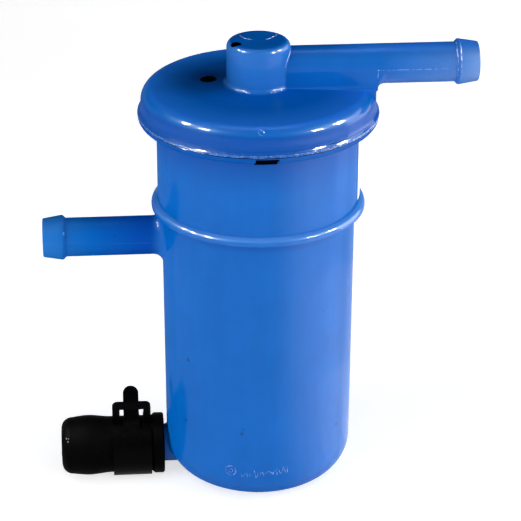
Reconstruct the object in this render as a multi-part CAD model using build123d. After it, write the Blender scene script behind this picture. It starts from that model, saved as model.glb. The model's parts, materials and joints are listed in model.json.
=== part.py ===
from build123d import *
from math import acos, atan2, cos, degrees, pi, sin, tan
import os

# Inline fuel filter, moulded in blue plastic. Millimetres, +Z up.
# The origin is the centre of the flat base. The inlet and the drain port point along -X,
# the outlet along +X, and all three axes lie in the plane Y = 0.

# Clearances
running_gap = 0.05  # rubber cap on its spigot, and clamp band on the cap
seat_gap = 0.03  # curved faces that are glued or pressed together
rim_gap = 0.12  # welded cover's locating rim in the housing
neck_gap = 0.12  # filter element's neck in the cover's socket
element_gap = 0.15  # filter element in its locating ribs
paper_gap = 0.3  # pleated paper inside the end caps' rims
core_gap = 0.45  # pleated paper around the core tube

# Housing
wall = 2.2
floor_thickness = 2.6
lower_radius = 23.45
base_draft = 0.25  # how much narrower the base is than the wall under the bead
base_round = 8.7
bead_bottom = 72.3
bead_height = 1.9
bead_lip = 1.2
bead_width = 2.45
bead_edge_round = 1.2
upper_step = 0.92  # how much wider the housing is above the bead
upper_length = 20.0
flange_width = 4.38
flange_thickness = 1.85
flange_round = 1.55
seam_chamfer = 0.18
notch_width = 5.4
notch_height = 1.3
notch_depth = 2.4

# Hose nipples
nipple_radius = 4.75
nipple_bore = 3.0
barb_rise = 0.7
barb_taper = 0.68
barb_length = 4.95
barb_back = 0.7
barb_land = 0.5
tip_round = 0.35
inlet_drop = 8.0  # from the bead down to the inlet's axis
inlet_reach = 52.45
inlet_round = 2.5
outlet_rise = 4.75  # from the cover's shoulder up to the outlet's axis
outlet_reach = 52.2

# Drain port, closed by a rubber cap
drain_height = 5.55
drain_chamfer = 0.8
drain_round = 0.7
cap_stop = 0.8  # from the housing to the cap's mouth
cap_length = 26.0
cap_end_wall = 2.6
cap_end_gap = 0.6
cap_wall = 2.32
cap_end_flare = 0.08
cap_end_slope = 0.12
cap_bulge = 0.5
cap_bulge_setback = 6.8
cap_round = 2.7
cap_rim_height = 0.58
cap_rim_length = 2.5
cap_soft_edge = 0.6

# Spring band clamp on the rubber cap
band_width = 9.7
band_thickness = 0.85
band_rim_gap = 0.2
wide_ear_length = 6.95
wide_ear_angle = -13.0
wide_ear_round = 1.4
window_rise = 4.85
window_gap = 1.0
window_end_angle = 58.0
tongue_length = 7.5
tongue_width = 3.95
tongue_angle = 31.0
tongue_root_angle = -34.0
tongue_round = 1.9

# Cover
cover_side_step = 0.75  # how much narrower the cover is than the weld flange
cover_bead_width = 0.84
cover_bead_land = 0.203  # from the seam up to where the bead starts to round
cover_bead_round = 0.5
cover_bead_blend = 2.2  # hollow that joins the bead to the cover's side
cover_side_height = 1.19
cover_wall = 2.3
cavity_round = 1.0
shoulder_round = 3.2
crown_rise = 0.7
rim_depth = 3.0
rim_thickness = 1.8
boss_wall = 2.35
boss_rise = 6.65  # from the outlet's axis up to the boss's top
boss_edge_round = 1.6
boss_foot_round = 1.3
boss_dish_radius = 5.6
boss_dish_depth = 0.3
web_foot_round = 1.2
gusset_round = 1.9
gusset_root = 4.0  # how far the gusset starts inside the cover's side
gate_pit_radius = 1.9
gate_pit_depth = 1.1
gate_pit_x = -11.7
gate_pit_y = 3.2
boss_pit_radius = 1.15
boss_pit_x = -5.35
boss_pit_y = -2.45
socket_radius = 5.2
socket_wall = 2.2
socket_lift = 2.4  # from the filter element up to the socket's mouth

# Filter element
rib_count = 4
rib_thickness = 1.6
rib_top = 11.0
rib_lug_height = 3.0
fuel_space = 2.0  # between the housing's wall and the filter element
element_drop = 3.05  # from the weld seam down to the filter element
end_cap_thickness = 1.5
end_cap_rim = 5.0
end_cap_rim_wall = 1.0
potting_thickness = 1.2
core_radius = 8.3
core_wall = 0.9
core_hole_radius = 1.6
core_hole_columns = 6
core_hole_pitch = 8.0
pleat_count = 32
paper_thickness = 0.5
fold_half_width = 0.7
seam_width = 0.8
seam_depth = 3.0
seam_setback = 0.95
neck_bore = 2.9
neck_drop = 0.75  # from the outlet's passage down to the neck
ring_section = 0.63
ring_groove_play = 0.64
ring_lift = 3.2  # from the socket's mouth up to the seal

# Label on the upper part of the housing
label_thickness = 0.12
label_low_margin = 1.0
label_high_margin = 1.7
label_start_angle = -17.0
label_sweep_angle = 141.0

# Helpers for building
cut_margin = 0.5  # how far a cut runs past the face that it opens
standing_align = (Align.CENTER, Align.CENTER, Align.MIN)
flat_align = (Align.MIN, Align.CENTER, Align.MIN)

# Housing, worked out from the sizes above
base_radius = lower_radius - base_draft
upper_radius = lower_radius + upper_step
bead_radius = lower_radius + bead_width
bead_top = bead_bottom + bead_height
bead_turn = atan2(bead_width - upper_step, bead_height - bead_lip)
bead_lip_end = bead_bottom + bead_lip - bead_edge_round * tan(bead_turn / 2)
flange_radius = upper_radius + flange_width
flange_bottom = bead_top + upper_length
seam_height = flange_bottom + flange_thickness
cavity_lower = lower_radius - wall
cavity_base = base_radius - wall
cavity_upper = upper_radius - wall
inlet_height = bead_bottom - inlet_drop
barb_radius = nipple_radius + barb_rise
barb_tip_radius = barb_radius - barb_taper

# Cover
cover_side_radius = flange_radius - cover_side_step
cover_bead_radius = cover_side_radius + cover_bead_width
cover_bead_blend_sum = cover_bead_round + cover_bead_blend
cover_bead_lean = acos(1 - cover_bead_width / cover_bead_blend_sum)
cover_side_bottom = seam_height + cover_bead_land + cover_bead_blend_sum * sin(cover_bead_lean)
shoulder_height = cover_side_bottom + cover_side_height + shoulder_round
crown_height = shoulder_height + crown_rise
cover_underside = shoulder_height - cover_wall
outlet_height = shoulder_height + outlet_rise
boss_radius = socket_radius + boss_wall
boss_top = outlet_height + boss_rise

# Drain cap and its clamp
cap_mouth = base_radius + cap_stop
cap_tail = cap_mouth + cap_length
cap_bore_end = cap_tail - cap_end_wall
drain_reach = cap_bore_end - cap_end_gap
cap_bore = nipple_radius + running_gap
cap_radius = cap_bore + cap_wall
cap_end_radius = cap_radius + cap_end_flare
cap_bulge_radius = cap_radius + cap_bulge
cap_rim_radius = cap_radius + cap_rim_height
cap_rim_end = cap_mouth + cap_rim_length
band_start = cap_rim_end + cap_soft_edge + band_rim_gap
band_inner = cap_radius + running_gap
band_outer = band_inner + band_thickness

# Filter element
element_bottom = rib_top
element_top = seam_height - element_drop
end_cap_radius = cavity_base - fuel_space
paper_bottom = element_bottom + end_cap_thickness + potting_thickness
paper_top = element_top - end_cap_thickness - potting_thickness
pleat_outer_radius = end_cap_radius - end_cap_rim_wall - paper_gap
pleat_inner_radius = core_radius + core_gap
socket_bottom = element_top + socket_lift
neck_radius = socket_radius - neck_gap
neck_top = outlet_height - nipple_bore - neck_drop
ring_height = socket_bottom + ring_lift
ring_radius = socket_radius - seat_gap - ring_section
ring_groove_width = 2 * ring_section + ring_groove_play
groove_radius = ring_radius - ring_section - seat_gap


def turned(wire_points):
    """Revolve a closed outline of (radius, height) pieces about Z."""
    return revolve(Plane.XZ * make_face(wire_points), Axis.Z)


def along_x(outline):
    """Revolve an outline drawn as (distance along +X, radius) about X."""
    return revolve(Plane.XY * make_face(outline), Axis.X)


def arc(centre, radius, start, end):
    """Arc by centre, radius and two angles in degrees, turning the short way."""
    return CenterArc(centre, radius, start, end - start)


def nipple(reach, root):
    """Hose nipple along +X from root to reach, with one barb near its tip."""
    crest = reach - barb_length
    slope_end = (reach - tip_round, barb_tip_radius)
    outline = (
        Line((root, 0), (root, nipple_radius))
        + Line((root, nipple_radius), (crest - barb_back, nipple_radius))
        + Line((crest - barb_back, nipple_radius), (crest, barb_radius))
        + Line((crest, barb_radius), (crest + barb_land, barb_radius))
        + Line((crest + barb_land, barb_radius), slope_end)
        + arc((reach - tip_round, barb_tip_radius - tip_round), tip_round, 90, 0)
        + Line((reach, barb_tip_radius - tip_round), (reach, 0))
        + Line((reach, 0), (root, 0))
    )
    return along_x(outline)


def disc(radius, bottom, height):
    """Upright cylinder about Z that stands on the height called bottom."""
    return Pos(0, 0, bottom) * Cylinder(radius, height, align=standing_align)


def ring(inner, outer, bottom, height):
    """Upright tube about Z that stands on the height called bottom."""
    return disc(outer, bottom, height) - disc(inner, bottom, height)


def bore(reach, root, radius):
    """Round passage along +X from root to just past reach."""
    centre = (reach + root + cut_margin) / 2
    return Pos(centre, 0, 0) * Rot(0, 90, 0) * Cylinder(radius, reach - root + cut_margin)


def toward_inlet(shape, height):
    """Turn a shape built along +X to -X and lift it to its port's height."""
    return Pos(0, 0, height) * Rot(0, 0, 180) * shape


def ring_sector(inner, outer, bottom, height, start, sweep):
    """Upright ring sector about Z between two radii, from a start angle."""
    first = arc((0, 0), outer, start, start + sweep)
    second = arc((0, 0), inner, start, start + sweep)
    outline = first + Line(first @ 1, second @ 1) + second + Line(second @ 0, first @ 0)
    return Pos(0, 0, bottom) * extrude(make_face(outline), height)


def housing_skin():
    """Outer form of the housing without its ports."""
    bead_edge = arc((bead_radius - bead_edge_round, bead_lip_end), bead_edge_round, 0, degrees(bead_turn))
    outline = (
        Line((0, 0), (base_radius - base_round, 0))
        + arc((base_radius - base_round, base_round), base_round, -90, 0)
        + Line((base_radius, base_round), (lower_radius, bead_bottom))
        + Line((lower_radius, bead_bottom), (bead_radius, bead_bottom))
        + Line((bead_radius, bead_bottom), (bead_radius, bead_lip_end))
        + bead_edge
        + Line(bead_edge @ 1, (upper_radius, bead_top))
        + Line((upper_radius, bead_top), (upper_radius, flange_bottom))
        + Line((upper_radius, flange_bottom), (flange_radius - flange_round, flange_bottom))
        + arc((flange_radius - flange_round, flange_bottom + flange_round), flange_round, -90, 0)
        + Line((flange_radius, flange_bottom + flange_round), (flange_radius, seam_height - seam_chamfer))
        + Line((flange_radius, seam_height - seam_chamfer), (flange_radius - seam_chamfer, seam_height))
        + Line((flange_radius - seam_chamfer, seam_height), (0, seam_height))
        + Line((0, seam_height), (0, 0))
    )
    return turned(outline)


def housing_cavity():
    """Inside of the housing, at one wall from its skin."""
    inner_round = base_round - wall
    open_end = seam_height + cut_margin
    outline = (
        Line((0, floor_thickness), (cavity_base - inner_round, floor_thickness))
        + arc((cavity_base - inner_round, floor_thickness + inner_round), inner_round, -90, 0)
        + Line((cavity_base, floor_thickness + inner_round), (cavity_lower, bead_bottom))
        + Line((cavity_lower, bead_bottom), (cavity_upper, bead_top))
        + Line((cavity_upper, bead_top), (cavity_upper, open_end))
        + Line((cavity_upper, open_end), (0, open_end))
        + Line((0, open_end), (0, floor_thickness))
    )
    return turned(outline)


def locating_ribs():
    """Ribs on the floor that carry the filter element and centre it."""
    lug_start = end_cap_radius + element_gap
    reach = cavity_lower + wall / 2
    profile = Polyline(
        (0, floor_thickness / 2),
        (reach, floor_thickness / 2),
        (reach, rib_top + rib_lug_height),
        (lug_start, rib_top + rib_lug_height),
        (lug_start, rib_top),
        (0, rib_top),
        close=True,
    )
    rib = extrude(Plane.XZ * make_face(profile), rib_thickness / 2, both=True)
    step = 360 / rib_count
    ribs = [Rot(0, 0, step / 2 + step * index) * rib for index in range(rib_count)]
    return Part() + ribs


def housing():
    """Housing with its floor ribs, bead, weld flange, inlet nipple and drain spigot."""
    skin = housing_skin()
    inlet = toward_inlet(nipple(inlet_reach, base_radius / 2), inlet_height)
    body = skin + inlet
    body = fillet(new_edges(skin, inlet, combined=body), inlet_round)
    spigot_outline = Polyline(
        (base_radius / 2, 0),
        (base_radius / 2, nipple_radius),
        (drain_reach - drain_chamfer, nipple_radius),
        (drain_reach, nipple_radius - drain_chamfer),
        (drain_reach, 0),
        close=True,
    )
    spigot = toward_inlet(along_x(spigot_outline), drain_height)
    joined = body + spigot
    body = fillet(new_edges(body, spigot, combined=joined), drain_round)
    ribs = locating_ribs() & housing_skin()
    body = body - housing_cavity() + ribs
    body -= toward_inlet(bore(inlet_reach, cavity_lower - wall, nipple_bore), inlet_height)
    body -= toward_inlet(bore(drain_reach, cavity_base - base_round, nipple_bore), drain_height)
    notch = Box(notch_width, 2 * notch_depth, notch_height)
    return body - Pos(0, -flange_radius, flange_bottom + notch_height / 2) * notch


def cover_skin():
    """Outer form of the cover with its boss, as one turned solid."""
    side_top = shoulder_height - shoulder_round
    shoulder_centre = (cover_side_radius - shoulder_round, side_top)
    lean = degrees(cover_bead_lean)
    bead_low = (cover_bead_radius, seam_height + seam_chamfer)
    bead_centre = (cover_bead_radius - cover_bead_round, seam_height + cover_bead_land)
    blend_centre = (cover_side_radius + cover_bead_blend, cover_side_bottom)
    foot_z = crown_height + boss_foot_round
    edge_centre = (boss_radius - boss_edge_round, boss_top - boss_edge_round)
    outline = (
        Line((0, seam_height), (cover_bead_radius - seam_chamfer, seam_height))
        + Line((cover_bead_radius - seam_chamfer, seam_height), bead_low)
        + Line(bead_low, (cover_bead_radius, bead_centre[1]))
        + arc(bead_centre, cover_bead_round, 0, lean)
        + arc(blend_centre, cover_bead_blend, 180 + lean, 180)
        + Line((cover_side_radius, cover_side_bottom), (cover_side_radius, side_top))
        + arc(shoulder_centre, shoulder_round, 0, 90)
        + Line((shoulder_centre[0], shoulder_height), (boss_radius + boss_foot_round, crown_height))
        + arc((boss_radius + boss_foot_round, foot_z), boss_foot_round, 270, 180)
        + Line((boss_radius, foot_z), (boss_radius, edge_centre[1]))
        + arc(edge_centre, boss_edge_round, 0, 90)
        + Line((edge_centre[0], boss_top), (0, boss_top))
        + Line((0, boss_top), (0, seam_height))
    )
    dish_ball = (boss_dish_radius**2 + boss_dish_depth**2) / (2 * boss_dish_depth)
    dish = Pos(0, 0, boss_top - boss_dish_depth + dish_ball) * Sphere(dish_ball)
    return turned(outline) - dish


def outlet_web():
    """Web from the boss to the cover's edge, flush with the outlet pipe's sides."""
    foot = shoulder_height + web_foot_round
    half = nipple_radius
    spread = half + web_foot_round
    low = shoulder_height - shoulder_round
    right = arc((spread, foot), web_foot_round, 180, 270)
    left = arc((-spread, foot), web_foot_round, 270, 360)
    outline = (
        Line((half, outlet_height), (half, foot))
        + right
        + Line(right @ 1, (spread, low))
        + Line((spread, low), (-spread, low))
        + Line((-spread, low), left @ 0)
        + left
        + Line(left @ 1, (-half, outlet_height))
        + arc((0, outlet_height), half, 180, 0)
    )
    web = extrude(Plane.YZ * make_face(outline), cover_side_radius + cut_margin)
    return web & disc(cover_side_radius, seam_height, boss_top - seam_height)


def pipe_gusset():
    """Rounded corner under the outlet pipe where it leaves the cover's web."""
    root = cover_side_radius - gusset_root
    end = cover_side_radius + gusset_round
    reach = nipple_radius + gusset_round
    hollow = arc((end, reach), gusset_round, 180, 270)
    outline = (
        Line((root, 0), (root, reach))
        + Line((root, reach), hollow @ 0)
        + hollow
        + Line(hollow @ 1, (end, 0))
        + Line((end, 0), (root, 0))
    )
    lower_half = Pos(0, 0, -reach) * Box(2 * end, 2 * nipple_radius, 2 * reach)
    return Pos(0, 0, outlet_height) * (along_x(outline) & lower_half)


def cover_cavity():
    """Inside of the cover around its central socket."""
    inner = cover_side_radius - cover_wall
    corner = inner - cavity_round
    socket_outer = socket_radius + socket_wall
    low = seam_height - cut_margin
    outline = (
        Line((socket_outer, low), (inner, low))
        + Line((inner, low), (inner, cover_underside - cavity_round))
        + arc((corner, cover_underside - cavity_round), cavity_round, 0, 90)
        + Line((corner, cover_underside), (socket_outer, cover_underside))
        + Line((socket_outer, cover_underside), (socket_outer, low))
    )
    return turned(outline)


def cover():
    """Cover with its locating rim, socket, boss, web, outlet nipple and gate pit."""
    body = cover_skin() + outlet_web()
    body = body + Pos(0, 0, outlet_height) * nipple(outlet_reach, boss_radius / 2)
    body = body + pipe_gusset() - cover_cavity()
    rim_outer = cavity_upper - rim_gap
    rim_inner = rim_outer - rim_thickness
    cavity_radius = cover_side_radius - cover_wall
    body += ring(rim_inner, cavity_radius + cut_margin, seam_height, rim_thickness)
    body += ring(rim_inner, rim_outer, seam_height - rim_depth, rim_depth)
    socket_length = cover_underside - socket_bottom + cut_margin
    body += disc(socket_radius + socket_wall, socket_bottom, socket_length)
    well_top = outlet_height + nipple_bore
    body -= disc(socket_radius, socket_bottom - cut_margin, well_top - socket_bottom + cut_margin)
    body = body - Pos(0, 0, outlet_height) * bore(outlet_reach, 0, nipple_bore)
    pit = Pos(gate_pit_x, gate_pit_y, crown_height) * Cylinder(gate_pit_radius, 2 * gate_pit_depth)
    boss_pit = Pos(boss_pit_x, boss_pit_y, boss_top) * Cylinder(boss_pit_radius, 2 * gate_pit_depth)
    return body - pit - boss_pit


def drain_cap():
    """Rubber blanking cap pushed over the drain spigot."""
    waist = band_start + band_width
    soft = cap_soft_edge
    corner = cap_tail - cap_round
    outline = (
        Line((cap_mouth, cap_bore), (cap_mouth, cap_rim_radius - soft))
        + arc((cap_mouth + soft, cap_rim_radius - soft), soft, 180, 90)
        + Line((cap_mouth + soft, cap_rim_radius), (cap_rim_end, cap_rim_radius))
        + Line((cap_rim_end, cap_rim_radius), (cap_rim_end + soft, cap_radius))
        + Line((cap_rim_end + soft, cap_radius), (waist, cap_radius))
        + Spline(
            (waist, cap_radius),
            (cap_tail - cap_bulge_setback, cap_bulge_radius),
            (corner, cap_end_radius),
            tangents=((1, 0), (1, -cap_end_slope)),
        )
        + arc((corner, cap_end_radius - cap_round), cap_round, 90, 0)
        + Line((cap_tail, cap_end_radius - cap_round), (cap_tail, 0))
        + Line((cap_tail, 0), (cap_bore_end, 0))
        + Line((cap_bore_end, 0), (cap_bore_end, cap_bore))
        + Line((cap_bore_end, cap_bore), (cap_mouth, cap_bore))
    )
    return toward_inlet(along_x(outline), drain_height)


def cap_clamp():
    """Spring band clamp: one strip whose narrow end passes through a window in its wide end."""
    window_width = tongue_width + 2 * window_gap
    side = (band_width - window_width) / 2
    full_sweep = 360 + tongue_root_angle - window_end_angle

    def strip(start_angle, sweep, low, width):
        return ring_sector(band_inner, band_outer, low, width, start_angle, sweep)

    def ear(angle, length, width, low, corner):
        plate = Box(length, band_thickness, width, align=flat_align)
        outer_corners = plate.edges().filter_by(Axis.Y).group_by(Axis.X)[-1]
        plate = fillet(outer_corners, corner)
        return Rot(0, 0, angle) * Pos(band_inner, 0, low) * plate

    body = strip(window_end_angle, full_sweep, 0, band_width)
    window_sweep = window_end_angle - wide_ear_angle
    body += strip(wide_ear_angle, window_sweep, 0, side)
    body += strip(wide_ear_angle, window_sweep, band_width - side, side)
    window = Box(window_rise + cut_margin, 3 * band_thickness, window_width, align=flat_align)
    window = Rot(0, 0, wide_ear_angle) * Pos(band_inner - cut_margin, 0, side) * window
    body += ear(wide_ear_angle, wide_ear_length, band_width, 0, wide_ear_round) - window
    tongue_low = (band_width - tongue_width) / 2
    body += strip(tongue_root_angle, tongue_angle - tongue_root_angle, tongue_low, tongue_width)
    body += ear(tongue_angle, tongue_length, tongue_width, tongue_low, tongue_round)
    # The strip is built about Z, with its ears toward +X, then laid along -X with its ears up.
    return Pos(-band_start, 0, drain_height) * Rot(0, -90, 0) * body


def label():
    """Plain curved label on the upper part of the housing."""
    inner = upper_radius + seat_gap
    outer = inner + label_thickness
    bottom = bead_top + label_low_margin
    height = upper_length - label_low_margin - label_high_margin
    return ring_sector(inner, outer, bottom, height, label_start_angle, label_sweep_angle)


def end_cap(upward):
    """Moulded disc with a rim that holds the ends of the paper, opening upward or downward."""
    inner = end_cap_radius - end_cap_rim_wall
    cap = disc(end_cap_radius, 0, end_cap_thickness)
    cap += ring(inner, end_cap_radius, end_cap_thickness, end_cap_rim)
    return cap if upward else Rot(180, 0, 0) * cap


def lower_end_cap():
    """Closed end cap that sits on the housing's ribs."""
    return Pos(0, 0, element_bottom) * end_cap(True)


def upper_end_cap():
    """End cap with the neck that carries the seal and leads to the outlet."""
    cap = Pos(0, 0, element_top) * end_cap(False)
    cap += disc(neck_radius, element_top - cut_margin, neck_top - element_top + cut_margin)
    groove_bottom = ring_height - ring_groove_width / 2
    cap -= ring(groove_radius, neck_radius + cut_margin, groove_bottom, ring_groove_width)
    low = element_top - end_cap_thickness - cut_margin
    return cap - disc(neck_bore, low, neck_top - low + cut_margin)


def outlet_o_ring():
    """Seal between the element's neck and the cover's socket."""
    return Pos(0, 0, ring_height) * Torus(ring_radius, ring_section)


def potting(bottom):
    """Ring of adhesive between the paper and an end cap."""
    outer = end_cap_radius - end_cap_rim_wall - seat_gap
    return ring(core_radius + seat_gap, outer, bottom, potting_thickness)


def pleat_outline(tip_radius, tip_half, valley_radius, valley_half):
    """Closed star outline with a flat fold at every tip and valley."""
    points = []
    for index in range(pleat_count):
        tip = 2 * pi * index / pleat_count
        valley = tip + pi / pleat_count
        for radius, centre, half in ((tip_radius, tip, tip_half), (valley_radius, valley, valley_half)):
            for side in (-1, 1):
                angle = centre + side * half / radius
                points.append((radius * cos(angle), radius * sin(angle)))
    return make_face(Polyline(*points, close=True))


def filter_media():
    """Pleated paper, as one folded ring."""
    thin = fold_half_width - paper_thickness
    outside = pleat_outline(
        pleat_outer_radius, fold_half_width, pleat_inner_radius + paper_thickness, thin
    )
    inside = pleat_outline(
        pleat_outer_radius - paper_thickness, thin, pleat_inner_radius, fold_half_width
    )
    return Pos(0, 0, paper_bottom) * extrude(outside - inside, paper_top - paper_bottom)


def media_seam():
    """Line of adhesive that closes the pleated ring, in one outer valley."""
    valley = 180 / pleat_count
    low = pleat_inner_radius + paper_thickness + seam_depth
    high = pleat_outer_radius - seam_setback
    bar = Box(high - low, seam_width, paper_top - paper_bottom, align=flat_align)
    return Rot(0, 0, valley) * Pos(low, 0, paper_bottom) * bar


def core_tube():
    """Perforated tube that supports the paper from inside."""
    low = element_bottom + end_cap_thickness
    length = element_top - end_cap_thickness - low
    tube = ring(core_radius - core_wall, core_radius, 0, length)
    rows = int((length - core_hole_pitch) / core_hole_pitch)
    first = (length - (rows - 1) * core_hole_pitch) / 2
    drill = Rot(0, 90, 0) * disc(core_hole_radius, 0, core_radius + cut_margin)
    holes = []
    for row in range(rows):
        for column in range(core_hole_columns):
            angle = (column + row % 2 / 2) * 360 / core_hole_columns
            holes.append(Pos(0, 0, first + row * core_hole_pitch) * Rot(0, 0, angle) * drill)
    return Pos(0, 0, low) * (tube - holes)


def write_parts():
    """Write each piece to its own file."""
    pieces = {
        "housing": housing(),
        "cover": cover(),
        "drain_cap": drain_cap(),
        "cap_clamp": cap_clamp(),
        "label": label(),
        "lower_end_cap": lower_end_cap(),
        "upper_end_cap": upper_end_cap(),
        "outlet_o_ring": outlet_o_ring(),
        "lower_potting": potting(element_bottom + end_cap_thickness),
        "upper_potting": potting(paper_top),
        "filter_media": filter_media(),
        "media_seam": media_seam(),
        "core_tube": core_tube(),
    }
    os.makedirs("parts", exist_ok=True)
    for name, shape in pieces.items():
        export_step(shape, f"parts/{name}.step")


write_parts()
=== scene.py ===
"""Looks of an inline fuel filter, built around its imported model. Metres, +Z up."""

import json
import math

import bpy
from mathutils import Matrix, Vector, noise
from mathutils.bvhtree import BVHTree


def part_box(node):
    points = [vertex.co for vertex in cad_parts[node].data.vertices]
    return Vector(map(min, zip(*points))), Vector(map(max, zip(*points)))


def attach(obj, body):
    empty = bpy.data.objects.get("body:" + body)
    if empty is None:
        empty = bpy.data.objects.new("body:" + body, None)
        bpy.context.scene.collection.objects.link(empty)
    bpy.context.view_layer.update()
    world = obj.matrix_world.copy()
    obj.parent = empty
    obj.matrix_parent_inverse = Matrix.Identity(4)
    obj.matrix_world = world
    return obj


MM = 0.001
Y_AXIS, Z_AXIS = 1, 2
WHITE = (1, 1, 1, 1)

# Camera, fitted to the photograph's frame of 521 x 521 pixels; angles in radians
FRAME_PIXELS = 521
FOCAL_PIXELS = 2211.6
SENSOR_WIDTH = 36.0
CLIP_START, CLIP_END = 0.01, 20
CAMERA_AZIMUTH = math.radians(-4.3)
CAMERA_ELEVATION = 0.461
CAMERA_DISTANCE = 546.7 * MM
CAMERA_ROLL = 0.002
TARGET = Vector((0, 0, 51.69 * MM))
TARGET_PIXEL = (257.93, 277.425)

# Lamps: azimuth and elevation in degrees, distance, width and height in metres, power in watts,
# and use: "light" is a soft fill that reflections don't show, "shine" shows only in them
LAMPS = {
    "fill_left": (-62, 9, 0.70, 0.45, 0.35, 2.85, "light"),
    "fill_front": (-12, 8, 0.70, 0.45, 0.35, 0.3, "light"),
    "fill_right": (55, 9, 0.70, 0.45, 0.35, 2.3, "light"),
    "fill_side": (95, 8, 0.70, 0.45, 0.35, 2.5, "light"),
    "fill_back": (160, 8, 0.70, 0.45, 0.35, 1.3, "light"),
    "top_front": (0, 36, 0.70, 0.45, 0.35, 0.9, "light"),
    "top_left": (-65, 48, 0.70, 0.45, 0.35, 0.8, "light"),
    "top_right": (60, 48, 0.70, 0.45, 0.35, 0.8, "light"),
    "spot_left_outer": (-93, 46, 0.60, 0.055, 0.07, 8.0, "shine"),
    "spot_left_inner": (-67, 47, 0.60, 0.075, 0.07, 9.0, "shine"),
    "spot_right_inner": (58, 35, 0.60, 0.10, 0.10, 8.0, "shine"),
    "spot_right_outer": (86, 34, 0.60, 0.10, 0.11, 11.0, "shine"),
    "panel_right": (108, 12, 0.50, 0.40, 0.40, 5.0, "shine"),
    "panel_top": (180, 77, 0.70, 0.40, 0.24, 1.2, "shine"),
}

# Bright cards flat on the floor to the right: the azimuth where each starts, and its brightness
CARDS = {
    "card_1": (15, 0.6),
    "card_2": (24, 0.8),
    "card_3": (33, 1.1),
    "card_4": (45, 1.1),
    "card_5": (58, 1.5),
    "card_6": (73, 1.9),
    "card_7": (91, 2.2),
}
CARD_SIDE = 0.40
CARD_GAP = 2 * MM  # from the canister's axis to each card's near corner
CARD_HEIGHT = 0.3 * MM  # over the floor
WORLD_STRENGTH = 0.15
WORLD_TOP = (0.04, 0.04, 0.045, 1)  # overhead, where the studio is dark
WORLD_FADE = (7, 15)  # elevations in degrees between which it darkens
FLOOR_SIZE = 6.0
FLOOR_DROP = 0.02 * MM  # under the lowest points of the object
FLOOR_COLOUR = (0.80, 0.80, 0.80, 1)
FLOOR_GLOW = 0.62

# Colours, linear
BLUE_DARK = (0.0006, 0.110, 0.46, 1)
BLUE_LIGHT = (0.0016, 0.140, 0.56, 1)
TOP_SHADE_BLUE = (0.0004, 0.112, 0.52, 1)  # painted shade on the middle of the cover's flat top
TOP_RIM_LIGHT = (0.014, 0.175, 0.76, 1)  # painted light towards that top's rim
BOSS_SIDE_LIGHT = (0.018, 0.160, 0.56, 1)  # painted light on the boss's side
INLET_ROOT_SHADE = (0.0004, 0.080, 0.46, 1)  # painted shade where the inlet leaves the canister
INLET_TIP_LIGHT = (0.030, 0.205, 0.60, 1)  # painted light towards the inlet's tip
BEAD_SLOPE_LIGHT = (0.058, 0.235, 0.66, 1)  # painted light on the strap bead's upper slope
BLUE_SHADE = (0.0006, 0.078, 0.40, 1)  # painted shade on the cover's side and the flange's rim, and under the flange and bead
BLUE_FLASH = (0.20, 0.42, 0.86, 1)  # thin squeezed-out edges, paler in patches, partly as painted glints
OUTLET_SHEEN = (0.16, 0.31, 0.68, 1)  # painted sheen on the outlet's front, growing towards its tip
SPECK = (0.002, 0.055, 0.24, 1)
# painted shade: the shadow beside the boss and the weld's groove
SHADE_NAVY = (0.002, 0.022, 0.10, 1)
# painted black shade in the cover's pits, and painted shadow in the flange's notch and under it
SHADE_BLACK = (0.0015, 0.0015, 0.002, 1)
RUBBER_DARK, RUBBER_LIGHT = (0.0005, 0.0005, 0.0006, 1), (0.0016, 0.0016, 0.0018, 1)
STEEL_DARK, STEEL_LIGHT = (0.0005, 0.0005, 0.0006, 1), (0.0018, 0.0018, 0.002, 1)
LABEL_DARK, LABEL_LIGHT = (0.70, 0.68, 0.65, 1), (0.80, 0.785, 0.76, 1)

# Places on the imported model
WEB_END = 27.9 * MM
BOSS_RADIUS = 7.55 * MM
PIPE_RADIUS = 4.75 * MM
LID_HEIGHT = 103.1 * MM  # at the boss's foot
BASE_FLAT_RADIUS = 14.5 * MM
RIM_START, RIM_END = 16.5 * MM, 25.5 * MM
INLET_ROOT, INLET_MIDDLE, INLET_TIP = -25.5 * MM, -41 * MM, -52 * MM

# Bands of height on the canister: from, to, and the distance over which each fades out
SEAM_GROOVE = (95.83 * MM, 96.10 * MM, 0.03 * MM)
WELD_BAND = (95.9 * MM, 97.0 * MM, 0.3 * MM)
COVER_SIDE = (96.6 * MM, 100.4 * MM, 0.8 * MM)
FLANGE_RIM = (94.3 * MM, 95.8 * MM, 0.1 * MM)
BEAD_BAND = (72.3 * MM, 74.0 * MM, 0.1 * MM)
BEAD_SLOPE = (72.9 * MM, 74.0 * MM, 0.3 * MM)
NOTCH_BAND = (92.6 * MM, 95.6 * MM, 0.05 * MM)

# Shade under a ledge: its upper edge and how far down it reaches
FLANGE_SHADE = (94.2 * MM, 10 * MM)
BEAD_SHADE = (72.3 * MM, 3 * MM)

# Parts of a surface by how far it faces along an axis: value at the start and end, start and end
TOP_FACING = (0, 1, 0.75, 0.97)
SLOPE_FACING = (0, 1, 0.2, 0.8)
PALE_FACING = (1, 0.15, -0.95, -0.4)
COAT_FACING = (0.078, 0.02, 0.8, 0.97)

# How strongly the painted light and shade on the blue show, and how far they reach
BOSS_MARGIN = 0.3 * MM
BOSS_FADE = 2 * MM
PALE_DEPTH, PALE_START, PALE_END = 0.58, 28 * MM, 53 * MM
PALE_TIP_DEPTH, PALE_TIP = 0.42, 47.2 * MM
INLET_TIP_DEPTH = 0.65
ROOT_FULL = 4 * MM
ROOT_EDGE = 1 * MM
FLANGE_RIM_DEPTH = 0.6

# Where the blue is duller than elsewhere, or shinier
OUTLET_DULL, OUTLET_DULL_REACH = 0.5, 6 * MM
INLET_DULL = 0.8
BEAD_POLISH = 0.9
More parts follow.
